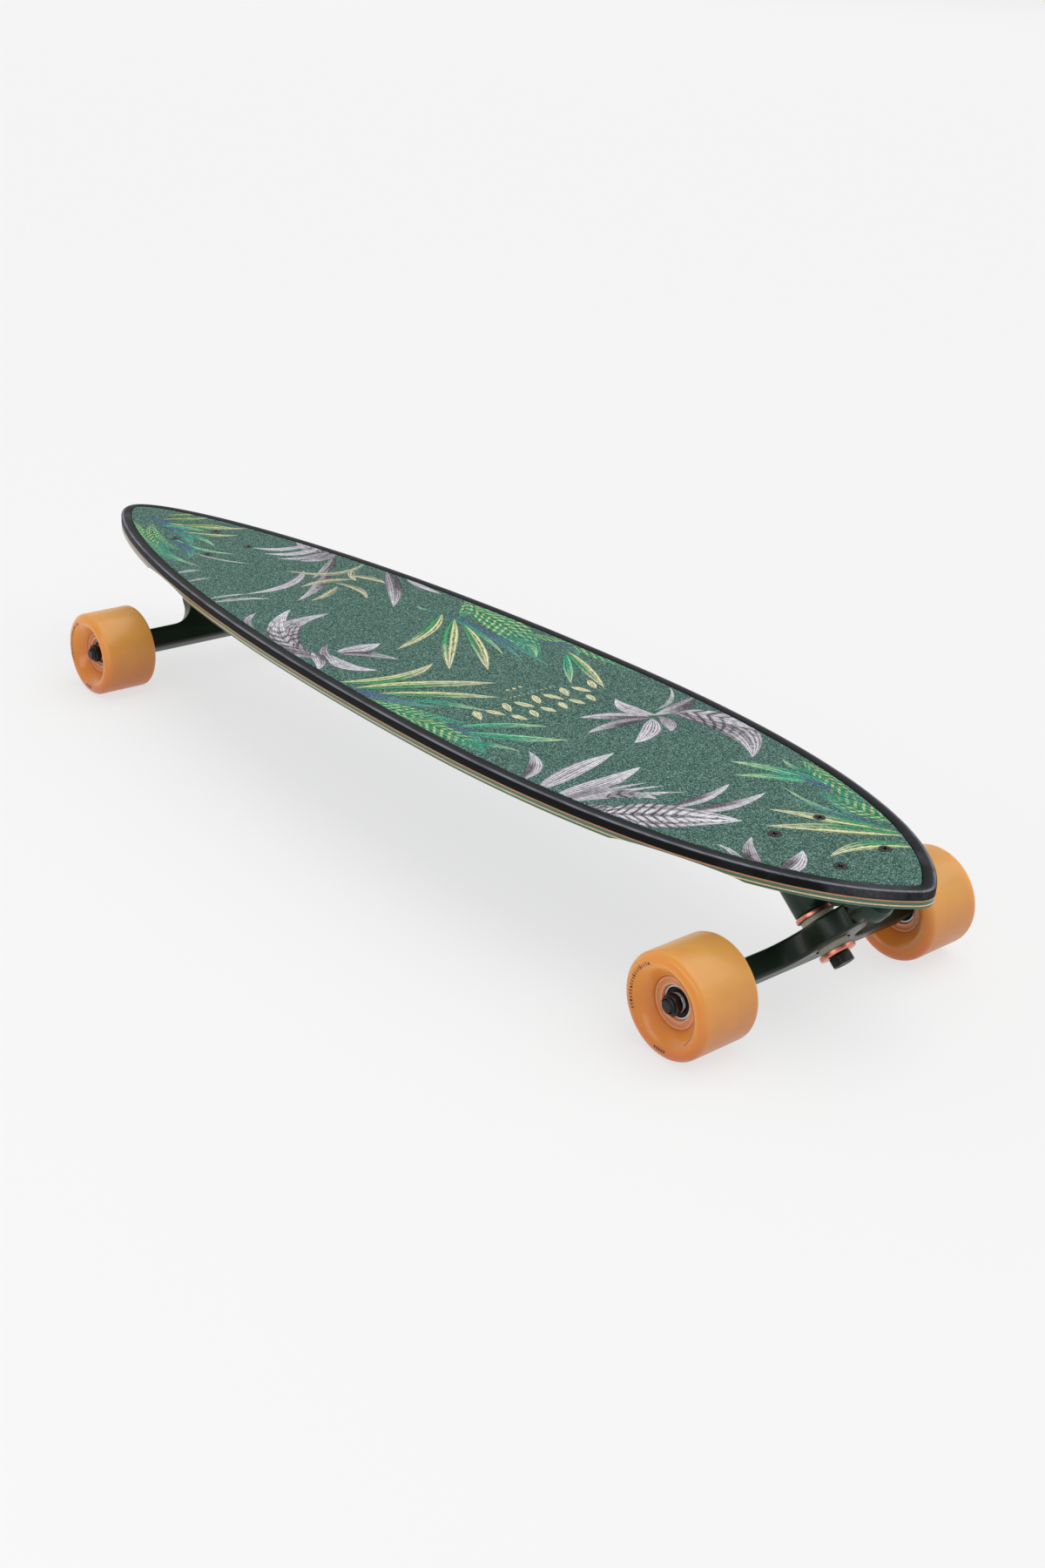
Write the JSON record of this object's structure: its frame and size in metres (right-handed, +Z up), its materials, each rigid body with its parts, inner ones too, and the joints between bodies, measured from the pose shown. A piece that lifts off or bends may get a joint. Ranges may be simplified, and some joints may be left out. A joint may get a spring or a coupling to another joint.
{
  "type": "skateboard",
  "caption": "Pintail longboard with a gritted top, moulded edge rail, turning trucks on rubber bushings and free rolling urethane wheels.",
  "frame": {"origin": "on the ground under the middle of the deck's outline", "axes": "+X along the deck to the nose, +Y to the rider's left when facing the nose, +Z up; the wheels stand on z = 0"},
  "size_m": [0.938, 0.257, 0.1122],
  "materials": {
    "maple_plies": "stained green veneers, satin lacquer",
    "edge_moulding": "satin black",
    "grip": "printed grit sheet",
    "truck_paint": "gloss dark green powder coat on cast aluminium",
    "washer_copper": "copper plated",
    "bushing_urethane": "cast urethane",
    "pivot_cup": "moulded urethane",
    "steel": "ground",
    "black_steel": "black oxide",
    "wheel_urethane": "translucent cast urethane, smooth"
  },
  "bodies": {
    "board": {"deck_laminate": "maple_plies", "edge_rail": "edge_moulding", "front_baseplate": "truck_paint", "front_board_side_bushing": "bushing_urethane", "front_board_side_washer": "washer_copper", "front_deck_bolt_1": "black_steel", "front_deck_bolt_2": "black_steel", "front_deck_bolt_3": "black_steel", "front_deck_bolt_4": "black_steel", "front_kingpin": "steel", "front_kingpin_nut": "black_steel", "front_lock_nut_1": "black_steel", "front_lock_nut_2": "black_steel", "front_lock_nut_3": "black_steel", "front_lock_nut_4": "black_steel", "front_pivot_cup": "pivot_cup", "front_road_side_bushing": "bushing_urethane", "front_road_side_washer": "washer_copper", "grip_sheet": "grip", "rear_baseplate": "truck_paint", "rear_board_side_bushing": "bushing_urethane", "rear_board_side_washer": "washer_copper", "rear_deck_bolt_1": "black_steel", "rear_deck_bolt_2": "black_steel", "rear_deck_bolt_3": "black_steel", "rear_deck_bolt_4": "black_steel", "rear_kingpin": "steel", "rear_kingpin_nut": "black_steel", "rear_lock_nut_1": "black_steel", "rear_lock_nut_2": "black_steel", "rear_lock_nut_3": "black_steel", "rear_lock_nut_4": "black_steel", "rear_pivot_cup": "pivot_cup", "rear_road_side_bushing": "bushing_urethane", "rear_road_side_washer": "washer_copper"},
    "front_hanger": {"front_axle": "steel", "front_hanger": "truck_paint", "front_left_axle_nut": "black_steel", "front_right_axle_nut": "black_steel"},
    "rear_hanger": {"rear_axle": "steel", "rear_hanger": "truck_paint", "rear_left_axle_nut": "black_steel", "rear_right_axle_nut": "black_steel"},
    "front_left_wheel": {"front_left_bearing_spacer": "steel", "front_left_inner_bearing": "steel", "front_left_outer_bearing": "steel", "front_left_wheel": "wheel_urethane"},
    "front_right_wheel": {"front_right_bearing_spacer": "steel", "front_right_inner_bearing": "steel", "front_right_outer_bearing": "steel", "front_right_wheel": "wheel_urethane"},
    "rear_left_wheel": {"rear_left_bearing_spacer": "steel", "rear_left_inner_bearing": "steel", "rear_left_outer_bearing": "steel", "rear_left_wheel": "wheel_urethane"},
    "rear_right_wheel": {"rear_right_bearing_spacer": "steel", "rear_right_inner_bearing": "steel", "rear_right_outer_bearing": "steel", "rear_right_wheel": "wheel_urethane"}
  },
  "joints": [
    {"name": "front_steering", "type": "hinge", "parent": "board", "child": "front_hanger", "pos_m": [0.39641, 0, 0.05063], "axis": [0.6428, 0, 0.766], "range_deg": [-15, 15], "stiffness_Nm_per_rad": 60, "deforming": ["front_board_side_bushing", "front_road_side_bushing"]},
    {"name": "rear_steering", "type": "hinge", "parent": "board", "child": "rear_hanger", "pos_m": [-0.33641, 0, 0.05063], "axis": [-0.6428, 0, 0.766], "range_deg": [-15, 15], "stiffness_Nm_per_rad": 60, "deforming": ["rear_board_side_bushing", "rear_road_side_bushing"]},
    {"name": "front_left_spin", "type": "hinge", "parent": "front_hanger", "child": "front_left_wheel", "pos_m": [0.3833, 0.10425, 0.035], "axis": [0, 1, 0], "continuous": true},
    {"name": "front_right_spin", "type": "hinge", "parent": "front_hanger", "child": "front_right_wheel", "pos_m": [0.3833, -0.10425, 0.035], "axis": [0, 1, 0], "continuous": true},
    {"name": "rear_left_spin", "type": "hinge", "parent": "rear_hanger", "child": "rear_left_wheel", "pos_m": [-0.3233, 0.10425, 0.035], "axis": [0, 1, 0], "continuous": true},
    {"name": "rear_right_spin", "type": "hinge", "parent": "rear_hanger", "child": "rear_right_wheel", "pos_m": [-0.3233, -0.10425, 0.035], "axis": [0, 1, 0], "continuous": true}
  ]
}
